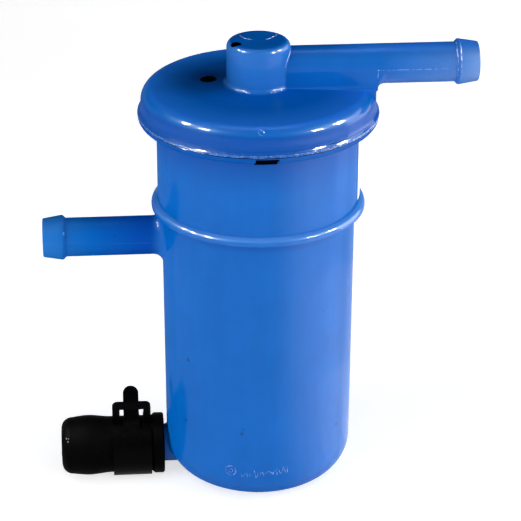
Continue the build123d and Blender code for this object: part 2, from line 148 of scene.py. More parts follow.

# Pits in the cover, painted black as shade in them: x, y and radius, and a height just under the
# pit
PITS = [
    (-11.7 * MM, 3.2 * MM, 2.0 * MM, 101.5 * MM),
    (-5.35 * MM, -2.45 * MM, 1.28 * MM, 111.5 * MM),
]
PIT_EDGE = (0.97, 1.03)  # of its radius
NOTCH_HALF = 2.75 * MM  # half the width of the weld flange's notch; it and the wall under it are painted black as shadow too
NOTCH_INSIDE = 24.0 * MM
NOTCH_RAGGED = 0.25 * MM

# Painted shadow beside the boss on the cover's top, round the larger pit: centre, core, reach,
# unevenness and depth
SHADOW_PLACE = (-11.2 * MM, 5.2 * MM, 103 * MM)
SHADOW_CORE, SHADOW_REACH = 2 * MM, 18 * MM
SHADOW_UNEVEN = 5 * MM
SHADOW_DEPTH = 0.95

# Dark specks moulded into the housing: angle from the camera's side, height and radius
SPECKS = [
    (-13.8, 20.4 * MM, 0.38 * MM),
    (-12.9, 21.6 * MM, 0.22 * MM),
    (-54.0, 19.7 * MM, 0.40 * MM),
    (-51.1, 37.1 * MM, 0.45 * MM),
    (52.9, 17.2 * MM, 0.36 * MM),
]
SPECK_DISTANCE = 23.3 * MM  # from the axis
SPECK_EDGE = (0.7, 1.6)  # of its radius
SPECK_DEPTH = 0.9

# Blue plastic: shares of clouds and flow marks in its tone, and tiny flecks all over
CLOUD_SHARE, FLOW_SHARE = 0.65, 0.35
FLOW_STRETCH = (1, 1, 0.08)
FLECK_SCALE, FLECK_SIZE, FLECK_SPARSE = 230.0, 0.045, 0.62
WELD_ROUGHNESS = 0.04  # on top of the rest
COAT_IOR = 2.1

# Materials of pieces inside and of the cap's scuffed flecks, whose light grey is a painted glint:
# dark and light tone, roughness, and the grain's scale and depth
PLAIN_MATERIALS = {
    "end_cap_plastic": ((0.05, 0.05, 0.055), (0.09, 0.09, 0.095), 0.5, 400, 0.01 * MM),
    "seal_rubber": ((0.012, 0.012, 0.012), (0.02, 0.02, 0.02), 0.5, 600, 0.01 * MM),
    "cast_glue": ((0.62, 0.55, 0.34), (0.74, 0.68, 0.46), 0.4, 300, 0.03 * MM),
    "filter_paper": ((0.70, 0.58, 0.34), (0.82, 0.70, 0.46), 0.9, 1500, 0.03 * MM),
    "core_plastic": ((0.70, 0.70, 0.67), (0.78, 0.78, 0.75), 0.5, 400, 0.01 * MM),
    "scuff_glint_rubber": ((0.10, 0.10, 0.10), (0.45, 0.45, 0.45), 0.5, 1400, 0.03 * MM),
}
ROUGHNESS_SPREAD = 0.06
INNER_NODES = {
    "lower_end_cap": "end_cap_plastic",
    "upper_end_cap": "end_cap_plastic",
    "outlet_o_ring": "seal_rubber",
    "lower_potting": "cast_glue",
    "upper_potting": "cast_glue",
    "media_seam": "cast_glue",
    "filter_media": "filter_paper",
    "core_tube": "core_plastic",
}

# Fine relief, as ridges along rows of points. A size is a ridge's width, then its least and
# greatest height, or one height; a span is a first and last angle in degrees and its steps.
PROFILE = ((-0.5, 0), (-0.3, 0.75), (0, 1), (0.3, 0.75), (0.5, 0))  # across and up
SINK = 0.03 * MM  # how far a ridge's edges lie under the surface
JAG_LENGTH = 0.9 * MM
JAG_COARSE, JAG_FINE, JAG_FINE_SCALE = 0.8, 0.4, 3.1

# How far from an axis a ray towards a pipe, the cap, the base or the weld starts
OUTSIDE = 15 * MM
CAP_OUTSIDE = 2 * OUTSIDE
BASE_OUTSIDE = 2 * OUTSIDE
WELD_OUTSIDE = 3 * OUTSIDE

WELD_STEPS = 1080
WELD_WANDER = 0.06 * MM
WELD_WAVES = 7
WELD_RIDGES = (  # height over the seam, size and seed
    (0.12 * MM, (0.20 * MM, 0.0, 0.14 * MM), 3),
    (0.44 * MM, (0.18 * MM, 0.0, 0.09 * MM), 8),
)

BOSS_FLASH = (0.34 * MM, 0.0, 0.32 * MM)
BOSS_ARCS = ((-46, -18), (17, 46))
BOSS_FOOT = 0.4 * MM
JOINT_FLASH = (0.34 * MM, 0.06 * MM, 0.20 * MM)
JOINT_SPAN = (14, 80, 40)
JOINT_SINK = 0.12 * MM
JOINT_SEED = 5

SCAR = (0.26 * MM, 0.03 * MM, 0.12 * MM)
SCAR_X, SCAR_Y, SCAR_RADIUS = 0.2 * MM, 5.4 * MM, 4.9 * MM
SCAR_ABOVE = 0.2
SCAR_SPAN = (-64, 64, 48)
SCAR_GAP = math.radians(16)

BARB_FLASH = (0.34 * MM, 0.03 * MM, 0.26 * MM)
BARB_RINGS = ((46.8 * MM, 1), (47.55 * MM, 6))  # place along the outlet, and seed
BARB_SPAN = (8, 110, 60)
BURR = (0.45 * MM, 0.16 * MM)
BURR_X = -47.3 * MM
BURR_SPAN = (52, 62, 8)

LINE_WIDTH = 0.20 * MM
LINE_STEPS = 60
LINE_LEAST = 0.5  # of its height
INLET_LINE = (-46.6 * MM, -26.5 * MM, 0.025 * MM)  # from, to and height
OUTLET_LINE = (WEB_END, 46.3 * MM, 0.06 * MM)
SPLIT_LINE = (0.2 * MM, 0.06 * MM)
SPLIT_STEP, SPLIT_COUNT = 0.09 * MM, 25
CAP_LINE = (0.26 * MM, 0.06 * MM)
CAP_LINE_SPAN = (-100, 100, 60)
CAP_LINE_CENTRE, CAP_LINE_END = -37.0 * MM, -37.4 * MM

DIAL_ANGLE, DIAL_HEIGHT = -20.8, 9.6 * MM
DIAL_RINGS = ((1.25 * MM, 0.34 * MM, 0.20 * MM), (0.50 * MM, 0.30 * MM, 0.20 * MM))  # radius, size
BAR = (0.27 * MM, 0.05 * MM, 0.20 * MM)
BAR_COUNT, BAR_FIRST, BAR_PITCH = 18, -14.0, 1.65
BAR_MIDDLE, BAR_RISE, BAR_WANDER = 8.7, 0.06, 0.35  # millimetres
BAR_SHORT, BAR_EXTRA = 0.45, 0.9  # millimetres, up and down from the middle
BAR_LEAN = 3.0  # degrees, at most
BAR_STEPS = 6
MIDDLE_NOISE, LENGTH_NOISE, LEAN_NOISE = (0.7, 2, 1), (1.9, 5, 3), (1.3, 9, 4)  # pace and place

SWIRL = (0.22 * MM, 0.05 * MM, 0.16 * MM)
SWIRL_ANGLE, SWIRL_SLOPE = -2.5, math.radians(44)
SWIRL_RADIUS, SWIRL_HEIGHT = 26.95 * MM, 101.7 * MM
SWIRL_ARCS = ((100, 300, 16, 0.75 * MM), (330, 480, 16, 0.42 * MM))  # span and radius

SCUFF = (0.24 * MM, 0.02 * MM, 0.10 * MM)
SCUFF_STEPS = 8
SCUFF_DEGREES = 8  # round the cap for a millimetre
SCUFFS = (  # angle, x in millimetres, turn in degrees, half length in millimetres, and seed
    (45, -48.7, 75, 0.24, 1),
    (46, -48.2, 30, 0.14, 4),
    (52, -48.3, 50, 0.20, 7),
)


class Shader:
    """A material's node tree, with short calls that add and link its nodes."""

    def __init__(self, name):
        self.material = bpy.data.materials.new(name)
        self.material.use_nodes = True
        self.tree = self.material.node_tree
        self.surface = self.tree.nodes["Principled BSDF"]
        self.object_space = self.add("ShaderNodeTexCoord").outputs["Object"]

    def add(self, kind, inputs=None, **settings):
        node = self.tree.nodes.new(kind)
        for name, value in settings.items():
            setattr(node, name, value)
        for key, value in (inputs or {}).items():
            self.feed(node.inputs[key], value)
        return node

    def feed(self, socket, value):
        if isinstance(value, bpy.types.NodeSocket):
            self.tree.links.new(value, socket)
        else:
            socket.default_value = value

    def math(self, operation, first, second=0.0):
        node = self.add("ShaderNodeMath", {0: first, 1: second}, operation=operation)
        return node.outputs[0]

    def times(self, first, second):
        return self.math("MULTIPLY", first, second)

    def largest(self, first, second):
        return self.math("MAXIMUM", first, second)

    def place(self):
        """The x, y and z of a point on the object."""
        return self.add("ShaderNodeSeparateXYZ", {0: self.object_space}).outputs

    def distance(self, target, point=None):
        """Distance of a point on the object, or of the one given, from a target."""
        inputs = {0: point or self.object_space, 1: target}
        return self.add("ShaderNodeVectorMath", inputs, operation="DISTANCE").outputs["Value"]

    def noise(self, scale, detail=2.0, roughness=0.5, stretch=(1, 1, 1)):
        place = self.add("ShaderNodeMapping", {"Vector": self.object_space, "Scale": stretch})
        inputs = {
            "Vector": place.outputs[0],
            "Scale": scale,
            "Detail": detail,
            "Roughness": roughness,
        }
        return self.add("ShaderNodeTexNoise", inputs).outputs[0]

    def spread(self, value, low, high, start=0.25, end=0.75):
        """Map a value between start and end to the range from low to high."""
        inputs = {
            "Value": value,
            "From Min": start,
            "From Max": end,
            "To Min": low,
            "To Max": high,
        }
        return self.add("ShaderNodeMapRange", inputs).outputs[0]

    def mix(self, factor, first, second):
        inputs = {"Factor": factor, 6: first, 7: second}
        return self.add("ShaderNodeMix", inputs, data_type="RGBA").outputs[2]

    def bump(self, height, distance, normal=None):
        inputs = {"Height": height, "Distance": distance, "Strength": 1.0}
        if normal is not None:
            inputs["Normal"] = normal
        return self.add("ShaderNodeBump", inputs).outputs[0]

    def set(self, **inputs):
        for name, value in inputs.items():
            self.feed(self.surface.inputs[name.replace("_", " ")], value)


def height_band(shader, low, high, soft):
    """Mask that is 1 between two heights and fades out over soft metres."""
    z = shader.place()[2]
    rise = shader.spread(z, 0, 1, low - soft, low)
    fall = shader.spread(z, 1, 0, high, high + soft)
    return shader.times(rise, fall)


def shade_below(shader, top, depth):
    """Mask that is 1 just under a height and fades out downwards."""
    z = shader.place()[2]
    fade = shader.spread(z, 0, 1, top - depth, top)
    return shader.times(fade, shader.math("LESS_THAN", z, top))


def pit_mask(shader, x, y, radius, bottom):
    """Mask of one small round pit in the cover, by its place in plan."""
    across, along, z = shader.place()
    plan = shader.add("ShaderNodeCombineXYZ", {0: across, 1: along}).outputs[0]
    away = shader.distance((x, y, 0), plan)
    edge = shader.spread(away, 1, 0, radius * PIT_EDGE[0], radius * PIT_EDGE[1])
    return shader.times(edge, shader.math("GREATER_THAN", z, bottom))


def shadow_bloom_mask(shader):
    """Painted shadow of the boss: a soft dark bloom round the larger pit in the cover, uneven at
    its edge.
    """
    away = shader.distance(SHADOW_PLACE)
    uneven = shader.times(shader.noise(scale=160), SHADOW_UNEVEN)
    reach = shader.math("ADD", away, uneven)
    return shader.spread(reach, SHADOW_DEPTH, 0, SHADOW_CORE, SHADOW_REACH)


def facing_part(shader, axis, low, high, start, end):
    """Value by how far the surface faces along a world axis."""
    normal = shader.add("ShaderNodeNewGeometry").outputs["Normal"]
    part = shader.add("ShaderNodeSeparateXYZ", {0: normal}).outputs[axis]
    return shader.spread(part, low, high, start, end)


def cover_marks(shader, colour):
    """Painted shade on the cover's top and side, painted light on the top's rim, the boss's side
    and the outlet's front, a painted shadow beside the boss, and its pits painted black as shade.

    Gives the colour, and a mask of where the surface is dull.
    """
    x, y, z = shader.place()
    plan = shader.add("ShaderNodeCombineXYZ", {0: x, 1: y}).outputs[0]
    away = shader.add("ShaderNodeVectorMath", {0: plan}, operation="LENGTH").outputs["Value"]
    # painted shade on the cover's upward-facing tops, painted light towards their rim
    top = shader.mix(shader.spread(away, 0, 1, RIM_START, RIM_END), TOP_SHADE_BLUE, TOP_RIM_LIGHT)
    # painted light on the boss's side, above the lid
    near = shader.math("LESS_THAN", away, BOSS_RADIUS + BOSS_MARGIN)
    boss = shader.times(near, shader.spread(z, 0, 1, LID_HEIGHT, LID_HEIGHT + BOSS_FADE))
    colour = shader.mix(boss, colour, BOSS_SIDE_LIGHT)
    # painted shade on the cover's side
    colour = shader.mix(height_band(shader, *COVER_SIDE), colour, BLUE_SHADE)
    colour = shader.mix(facing_part(shader, Z_AXIS, *TOP_FACING), colour, top)
    # painted sheen on the outlet's front, growing towards its tip
    along = shader.spread(x, 0, PALE_DEPTH, PALE_START, PALE_END)
    along = shader.math("ADD", along, shader.spread(x, 0, PALE_TIP_DEPTH, PALE_TIP, PALE_END))
    front = facing_part(shader, Y_AXIS, *PALE_FACING)
    colour = shader.mix(shader.times(along, front), colour, OUTLET_SHEEN)
    # painted shadow beside the boss, round the larger pit
    colour = shader.mix(shadow_bloom_mask(shader), colour, SHADE_NAVY)
    dull = shader.spread(x, 0, OUTLET_DULL, WEB_END, WEB_END + OUTLET_DULL_REACH)
    # the pits painted black as shade
    for spot in PITS:
        pit = pit_mask(shader, *spot)
        colour = shader.mix(pit, colour, SHADE_BLACK)
        dull = shader.largest(dull, pit)
    return colour, dull


def housing_marks(shader, colour):
    """Painted shade under the flange and bead, on the flange's rim, in the weld's groove and at
    the inlet's root, painted light on the bead's upper slope and towards the inlet's tip, moulded
    specks, and the notch painted black as shadow.

    Gives the colour, and a mask of where the surface is dull; it is negative where it shines more.
    """
    x, y, _ = shader.place()
    colour = shader.mix(shade_below(shader, *FLANGE_SHADE), colour, BLUE_SHADE)
    colour = shader.mix(shade_below(shader, *BEAD_SHADE), colour, BLUE_SHADE)
    # painted light on the bead's upward-facing slope
    slope = height_band(shader, *BEAD_SLOPE)
    slope = shader.times(slope, facing_part(shader, Z_AXIS, *SLOPE_FACING))
    colour = shader.mix(slope, colour, BEAD_SLOPE_LIGHT)
    # painted shade on the flange's rim
    rim = shader.times(height_band(shader, *FLANGE_RIM), FLANGE_RIM_DEPTH)
    colour = shader.mix(rim, colour, BLUE_SHADE)
    # painted shade along the inlet near the canister
    root = shader.spread(x, 0, 1, INLET_MIDDLE, INLET_ROOT - ROOT_FULL)
    on_pipe = shader.spread(x, 1, 0, INLET_ROOT - ROOT_EDGE, INLET_ROOT + ROOT_EDGE)
    colour = shader.mix(shader.times(root, on_pipe), colour, INLET_ROOT_SHADE)
    # painted light towards the inlet's tip
    tip = shader.spread(x, INLET_TIP_DEPTH, 0, INLET_TIP, INLET_MIDDLE)
    colour = shader.mix(tip, colour, INLET_TIP_LIGHT)
    # painted shade in the weld's groove
    colour = shader.mix(height_band(shader, *SEAM_GROOVE), colour, SHADE_NAVY)
    for angle, height, radius in SPECKS:
        away = shader.distance(radial(angle, SPECK_DISTANCE, height))
        inner, outer = (radius * part for part in SPECK_EDGE)
        colour = shader.mix(shader.spread(away, SPECK_DEPTH, 0, inner, outer), colour, SPECK)
    # the notch and the wall under it painted black as shadow
    ragged = shader.times(shader.spread(shader.noise(scale=700), -1, 1), NOTCH_RAGGED)
    reach = shader.math("ADD", shader.math("ABSOLUTE", x), ragged)
    across = shader.math("LESS_THAN", reach, NOTCH_HALF)
    outside = shader.math("LESS_THAN", y, -NOTCH_INSIDE)
    notch = shader.times(across, outside)
    notch = shader.times(notch, height_band(shader, *NOTCH_BAND))
    dull = shader.largest(shader.times(on_pipe, INLET_DULL), notch)
    dull = shader.largest(dull, rim)
    polished = shader.times(height_band(shader, *BEAD_BAND), BEAD_POLISH)
    return shader.mix(notch, colour, SHADE_BLACK), shader.math("SUBTRACT", dull, polished)


def blue_plastic(name, marks=None):
    """Moulded semi-gloss plastic with clouds, flow marks, flecks and a rougher weld."""
    shader = Shader(name)
    cloud = shader.noise(scale=70, detail=4, roughness=0.55)
    flow = shader.noise(scale=260, detail=3, stretch=FLOW_STRETCH)
    tone = shader.math("ADD", shader.times(cloud, CLOUD_SHARE), shader.times(flow, FLOW_SHARE))
    colour = shader.mix(shader.spread(tone, 0, 1, start=0.3, end=0.7), BLUE_DARK, BLUE_LIGHT)
    inputs = {"Vector": shader.object_space, "Scale": FLECK_SCALE}
    cells = shader.add("ShaderNodeTexVoronoi", inputs).outputs["Distance"]
    fleck = shader.math("LESS_THAN", cells, FLECK_SIZE)
    sparse = shader.math("GREATER_THAN", shader.noise(scale=95, detail=1), FLECK_SPARSE)
    colour = shader.mix(shader.times(fleck, sparse), colour, SPECK)
    dull = 0.0
    if marks:
        colour, dull = marks(shader, colour)
    glossy = shader.math("SUBTRACT", 1.0, dull)
    weld = height_band(shader, *WELD_BAND)
    rough = shader.spread(shader.noise(scale=420, detail=3), low=0.38, high=0.46)
    grain = shader.bump(shader.noise(scale=2600), distance=0.004 * MM)
    wave = shader.bump(shader.noise(scale=170), distance=0.10 * MM, normal=grain)
    ripple = shader.times(shader.noise(scale=900, detail=3, roughness=0.6), weld)
    facing = shader.add("ShaderNodeLayerWeight", {"Blend": 0.5}).outputs["Facing"]
    shader.set(Specular_IOR_Level=0.06, Coat_Weight=0.08)  # plain values, used where the links set below are dropped
    shader.set(
        Base_Color=colour,
        Roughness=shader.math("ADD", rough, shader.times(weld, WELD_ROUGHNESS)),
        Normal=shader.bump(ripple, distance=0.30 * MM, normal=wave),
        Specular_IOR_Level=shader.times(
            shader.spread(facing, low=0.08, high=0.0, start=0.2, end=0.6), glossy
        ),
        Specular_Tint=(0.45, 0.7, 1.0, 1),
        Coat_Weight=shader.times(facing_part(shader, Z_AXIS, *COAT_FACING), glossy),
        Coat_IOR=COAT_IOR,
        Coat_Roughness=0.09,
        Subsurface_Weight=0.12,
        Subsurface_Radius=(0.15, 0.5, 1.0),
        Subsurface_Scale=1.6 * MM,
    )
    return shader.material


def flash_plastic():
    """Thin squeezed-out plastic along the seams and mould lines, paler than the rest, partly as
    painted glints.
    """
    shader = Shader("flash_plastic")
    cloud = shader.noise(scale=1100, detail=3, roughness=0.6)
    tone = shader.spread(cloud, 0, 1, start=0.44, end=0.66)
    shader.set(
        Base_Color=shader.mix(tone, BLUE_LIGHT, BLUE_FLASH),
        Roughness=shader.spread(shader.noise(scale=900), low=0.2, high=0.35),
        Normal=shader.bump(shader.noise(scale=1500, detail=3), distance=0.05 * MM),
        Specular_IOR_Level=0.3,
        Coat_Weight=0.15,
        Coat_IOR=COAT_IOR,
        Coat_Roughness=0.12,
    )
    return shader.material


def black_rubber():
    """Smooth moulded rubber, almost black."""
    shader = Shader("black_rubber")
    tone = shader.noise(scale=300, detail=4, roughness=0.6)
    grain = shader.bump(shader.noise(scale=3200), distance=0.008 * MM)
    shader.set(
        Base_Color=shader.mix(tone, RUBBER_DARK, RUBBER_LIGHT),
        Roughness=shader.spread(shader.noise(scale=500, detail=3), low=0.52, high=0.66),
        Normal=shader.bump(shader.noise(scale=220), distance=0.12 * MM, normal=grain),
        Specular_IOR_Level=0.012,
    )
    return shader.material


def coated_steel():
    """Spring steel with a thin black coat."""
    shader = Shader("coated_steel")
    tone = shader.noise(scale=600, detail=5, roughness=0.65)
    shader.set(
        Base_Color=shader.mix(tone, STEEL_DARK, STEEL_LIGHT),
        Roughness=shader.spread(shader.noise(scale=900, detail=4), low=0.28, high=0.46),
        Normal=shader.bump(shader.noise(scale=2400, detail=3), distance=0.010 * MM),
        Specular_IOR_Level=0.02,
    )
    return shader.material


def label_film():
    """Plain white film, with a faint grain."""
    shader = Shader("label_film")
    tone = shader.noise(scale=1400, detail=5, roughness=0.6)
    shader.set(
        Base_Color=shader.mix(tone, LABEL_DARK, LABEL_LIGHT),
        Roughness=shader.spread(shader.noise(scale=700, detail=3), low=0.38, high=0.5),
        Normal=shader.bump(shader.noise(scale=1800, detail=3), distance=0.006 * MM),
    )
    return shader.material


def plain_material(name):
    """One of the plain materials: two tones of one colour, with grain."""
    low, high, roughness, scale, depth = PLAIN_MATERIALS[name]
    shader = Shader(name)
    tone = shader.noise(scale, detail=4, roughness=0.6)
    rough = (roughness - ROUGHNESS_SPREAD, roughness + ROUGHNESS_SPREAD)
    shader.set(
        Base_Color=shader.mix(tone, (*low, 1), (*high, 1)),
        Roughness=shader.spread(shader.noise(scale * 2, detail=3), *rough),
        Normal=shader.bump(shader.noise(scale * 3, detail=3), depth),
    )
    return shader.material


class Surface:
    """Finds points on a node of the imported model."""

    def __init__(self, node):
        mesh = frame["nodes"][node].data
        corners = [vertex.co for vertex in mesh.vertices]
        faces = [tuple(polygon.vertices) for polygon in mesh.polygons]
        self.tree = BVHTree.FromPolygons(corners, faces)

    def hit(self, start, direction):
        """First point and normal met from start along direction."""
        point, normal, _, _ = self.tree.ray_cast(start, direction.normalized())
        if point is None:
            raise ValueError("no surface there")
        return point, normal

    def hit_inward(self, place, outward, reach=OUTSIDE):
        """First point and normal met on the way in to a place from outside it."""
        return self.hit(place + outward * reach, -outward)

    def hit_pipe(self, x, height, angle_degrees):
        """Point and normal on a level pipe, at an angle from its top towards the camera."""
        angle = math.radians(angle_degrees)
        outward = Vector((0, -math.sin(angle), math.cos(angle)))
        return self.hit_inward(Vector((x, 0, height)), outward)


class Relief:
    """Collects small raised forms into one mesh piece."""

    def __init__(self):
        self.corners = []
        self.faces = []

    def strip(self, hits, width, height, sink=SINK, closed=False):
        """Rounded ridge along a row of surface points with their normals."""
        count = len(hits)
        base = len(self.corners)
        for index, (point, normal) in enumerate(hits):
            ahead, _ = hits[(index + 1) % count if closed else min(index + 1, count - 1)]
            behind, _ = hits[(index - 1) % count if closed else max(index - 1, 0)]
            side = (ahead - behind).cross(normal).normalized()
            level = height[index] if isinstance(height, list) else height
            for across, up in PROFILE:
                lift = normal * (level * up - sink * (1 - up))
                self.corners.append(point + side * width * across + lift)
        size = len(PROFILE)
        rows = count if closed else count - 1
        for row in range(rows):
            first = base + row * size
            second = base + (row + 1) % count * size
            for k in range(size - 1):
                self.faces.append((first + k, first + k + 1, second + k + 1, second + k))
            self.faces.append((first + size - 1, first, second, second + size - 1))
        if not closed:
            self.faces.append(tuple(base + k for k in reversed(range(size))))
            self.faces.append(tuple(base + (count - 1) * size + k for k in range(size)))

    def flash(self, hits, width, low, high, seed, sink=SINK, closed=False):
        """Jagged ridge of squeezed-out plastic along a row of surface points."""
        heights = []
        for point, _ in hits:
            place = point / JAG_LENGTH + Vector((seed, seed, seed))
            coarse = noise.noise(place) * JAG_COARSE
            level = 0.5 + coarse + noise.noise(place * JAG_FINE_SCALE) * JAG_FINE
            heights.append(low + (high - low) * min(max(level, 0), 1))
        self.strip(hits, width, heights, sink, closed)

    def ring(self, surface, start, direction, radius, width, height, steps=40):
        """Raised ring about a line of sight that meets the surface."""
        direction = direction.normalized()
        across = direction.cross(Vector((0, 0, 1))).normalized()
        up = across.cross(direction)
        hits = []
        for step in range(steps):
            angle = 2 * math.pi * step / steps
            offset = (across * math.cos(angle) + up * math.sin(angle)) * radius
            hits.append(surface.hit(start + offset, direction))
        self.strip(hits, width, height, closed=True)

    def piece(self, name, material, body):
        """Make the object, with its material, on its body."""
        mesh = bpy.data.meshes.new(name)
        mesh.from_pydata(self.corners, [], self.faces)
        mesh.validate()
        mesh.shade_smooth()
        obj = bpy.data.objects.new(name, mesh)
        bpy.context.scene.collection.objects.link(obj)
        mesh.materials.append(material)
        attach(obj, body)


def radial(angle_degrees, radius, height):
    """Point at an angle from the camera's side of the canister, -Y, towards +X."""
    angle = math.radians(angle_degrees)
    return Vector((radius * math.sin(angle), -radius * math.cos(angle), height))


def spaced(start, end, steps):
    """Values from start to end, both among them."""
    return [start + (end - start) * step / steps for step in range(steps + 1)]


def row_noise(index, pace, y, z):
    """Noise for one of a row of marks, the same on each run."""
    return noise.noise(Vector((index * pace, y, z)))


def weld_flash(material, cover):
    """Uneven bead of melted plastic squeezed out of the weld between housing and cover."""
    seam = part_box("housing")[1].z
    relief = Relief()
    for lift, size, seed in WELD_RIDGES:
        hits = []
        for step in range(WELD_STEPS):
            angle = 360 * step / WELD_STEPS
            wave = noise.noise(radial(angle, WELD_WAVES, 0) + Vector((seed, 0, 0)))
            start = radial(angle, WELD_OUTSIDE, seam + lift + wave * WELD_WANDER)
            hits.append(cover.hit(start, -radial(angle, 1, 0)))
        relief.flash(hits, *size, seed, closed=True)
    relief.piece("weld_flash", material, "filter")


def boss_flash(material, cover):
    """Jagged ridges at the boss's foot and where the outlet pipe meets the boss."""
    relief = Relief()
    for start, end in BOSS_ARCS:
        hits = []
        for angle in spaced(start, end, 2 * (end - start)):
            foot = radial(angle, BOSS_RADIUS + BOSS_FOOT, LID_HEIGHT + BOSS_FOOT)
            hits.append(cover.hit_inward(foot, radial(angle, 1, 1)))
        relief.flash(hits, *BOSS_FLASH, start)
    hits = []
    for angle in spaced(*JOINT_SPAN):
        y = -PIPE_RADIUS * math.sin(math.radians(angle))
        rise = PIPE_RADIUS * math.cos(math.radians(angle))
        x = math.sqrt(BOSS_RADIUS**2 - y**2)
        away = Vector((x, y, 0)).normalized() + Vector((0, y, rise)).normalized()
        hits.append((Vector((x, y, OUTLET_HEIGHT + rise)), away.normalized()))
    relief.flash(hits, *JOINT_FLASH, JOINT_SEED, JOINT_SINK)
    relief.piece("boss_flash", material, "filter")


def boss_scar(material, cover):
    """Shallow arc on the boss's top, open in the middle, left by the mould."""
    down = Vector((0, 0, -1))
    arcs = {-1: [], 1: []}
    for angle in map(math.radians, spaced(*SCAR_SPAN)):
        x = SCAR_X + SCAR_RADIUS * math.sin(angle)
        y = SCAR_Y - SCAR_RADIUS * math.cos(angle)
        if abs(angle) > SCAR_GAP:
            arcs[1 if angle > 0 else -1].append(cover.hit(Vector((x, y, SCAR_ABOVE)), down))
    relief = Relief()
    for side, hits in arcs.items():
        relief.flash(hits, *SCAR, side)
    relief.piece("boss_scar", material, "filter")


def barb_flash(material, housing, cover):
    """Jagged rings round the front of the outlet's barb, and one burr on the inlet's."""
    relief = Relief()
    for x, seed in BARB_RINGS:
        hits = [cover.hit_pipe(x, OUTLET_HEIGHT, angle) for angle in spaced(*BARB_SPAN)]
        relief.flash(hits, *BARB_FLASH, seed)
    hits = [housing.hit_pipe(BURR_X, INLET_HEIGHT, angle) for angle in spaced(*BURR_SPAN)]
    relief.strip(hits, *BURR)
    relief.piece("barb_flash", material, "filter")


def parting_line(name, material, surface, height, start, end, rise):
    """Fine mould line along both sides of a hose nipple."""
    relief = Relief()
    for side in (-1, 1):
        away = Vector((0, side, 0))
        places = [Vector((x, 0, height)) for x in spaced(start, end, LINE_STEPS)]
        hits = [surface.hit_inward(place, away) for place in places]
        relief.flash(hits, LINE_WIDTH, rise * LINE_LEAST, rise, side)
    relief.piece(name, material, "filter")


def split_line(material, cover):
    """Mould line down both sides of the outlet, where the web ends."""
    relief = Relief()
    heights = [OUTLET_HEIGHT - SPLIT_STEP * step for step in range(SPLIT_COUNT)]
    for side in (-1, 1):
        away = Vector((0, side, 0))
        hits = [cover.hit_inward(Vector((WEB_END, 0, height)), away) for height in heights]
        relief.strip(hits, *SPLIT_LINE)
    relief.piece("outlet_split_line", material, "filter")


def base_marks(material, housing):
    """Blank moulded marks low on the front: a small dial and a row of worn bars."""
    relief = Relief()
    dial = radial(DIAL_ANGLE, BASE_OUTSIDE, DIAL_HEIGHT)
    inward = Vector((0, 0, dial.z)) - dial
    for ring in DIAL_RINGS:
        relief.ring(housing, dial, inward, *ring)
    for index in range(BAR_COUNT):
        angle = BAR_FIRST + BAR_PITCH * index
        wander = BAR_WANDER * row_noise(index, *MIDDLE_NOISE)
        middle = (BAR_MIDDLE + BAR_RISE * index + wander) * MM
        tall = (BAR_SHORT + BAR_EXTRA * abs(row_noise(index, *LENGTH_NOISE))) * MM
        lean = BAR_LEAN * row_noise(index, *LEAN_NOISE)
        hits = []
        for along in spaced(-1, 1, BAR_STEPS):
            start = radial(angle + lean * along, BASE_OUTSIDE, middle + tall * along)
            hits.append(housing.hit(start, Vector((0, 0, start.z)) - start))
        relief.flash(hits, *BAR, index)
    relief.piece("base_marks", material, "filter")


def lid_mark(material, cover):
    """Small blank moulded swirl on the front of the cover's shoulder."""
    relief = Relief()
    centre = radial(SWIRL_ANGLE, SWIRL_RADIUS, SWIRL_HEIGHT)
    outward = radial(SWIRL_ANGLE, math.cos(SWIRL_SLOPE), math.sin(SWIRL_SLOPE))
    across = radial(SWIRL_ANGLE + 90, 1, 0)
    rise = outward.cross(across)
    for start, end, steps, radius in SWIRL_ARCS:
        hits = []
        for angle in map(math.radians, spaced(start, end, steps)):
            place = centre + (across * math.cos(angle) + rise * math.sin(angle)) * radius
            hits.append(cover.hit_inward(place, outward))
        relief.flash(hits, *SWIRL, start)
    relief.piece("lid_mark", material, "filter")


def cap_parting_line(material, cap):
    """Mould line over the closed end and along both sides of the rubber cap."""
    relief = Relief()
    centre = Vector((CAP_LINE_CENTRE, 0, DRAIN_HEIGHT))
    hits = []
    for angle in map(math.radians, spaced(*CAP_LINE_SPAN)):
        outward = Vector((-math.cos(angle), math.sin(angle), 0))
        hits.append(cap.hit_inward(centre, outward, CAP_OUTSIDE))
    relief.strip([hit for hit in hits if hit[0].x < CAP_LINE_END], *CAP_LINE)
    relief.piece("cap_parting_line", material, "drain_cap")


def cap_glint_scuff(material, cap):
    """Three small torn flecks of a scuffed spot near the cap's closed end, their light grey a
    painted glint.
    """
    relief = Relief()
    for angle, x, turn, half, seed in SCUFFS:
        turn = math.radians(turn)
        hits = []
        for part in spaced(-1, 1, SCUFF_STEPS):
            shift = part * half
            place = angle + shift * math.sin(turn) * SCUFF_DEGREES
            hits.append(cap.hit_pipe((x + shift * math.cos(turn)) * MM, DRAIN_HEIGHT, place))
        relief.flash(hits, *SCUFF, seed)
    relief.piece("cap_glint_scuff", material, "drain_cap")


def give(node, material):
    """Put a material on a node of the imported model."""
    for place in frame["nodes"][node].material_slots:
        place.material = material


def direction(azimuth, elevation):
    """Unit vector from the object to an azimuth and elevation; azimuth 0 is -Y, 90 degrees +X."""
    flat = math.cos(elevation)
    return Vector((math.sin(azimuth) * flat, -math.cos(azimuth) * flat, math.sin(elevation)))


def floor_height(x):
    """Height of the floor, which lies as a table would under the clamp and the base's far edge."""
    return (x - BASE_FLAT_RADIUS) * FLOOR_SLOPE - FLOOR_DROP


def add_area_light(name, shape, power):
    """Area light that the camera doesn't see; its object and its data."""
    light = bpy.data.lights.new(name, "AREA")
    light.shape = shape
    light.energy = power
    obj = bpy.data.objects.new(name, light)
    obj.visible_camera = False
    bpy.context.scene.collection.objects.link(obj)
    return obj, light


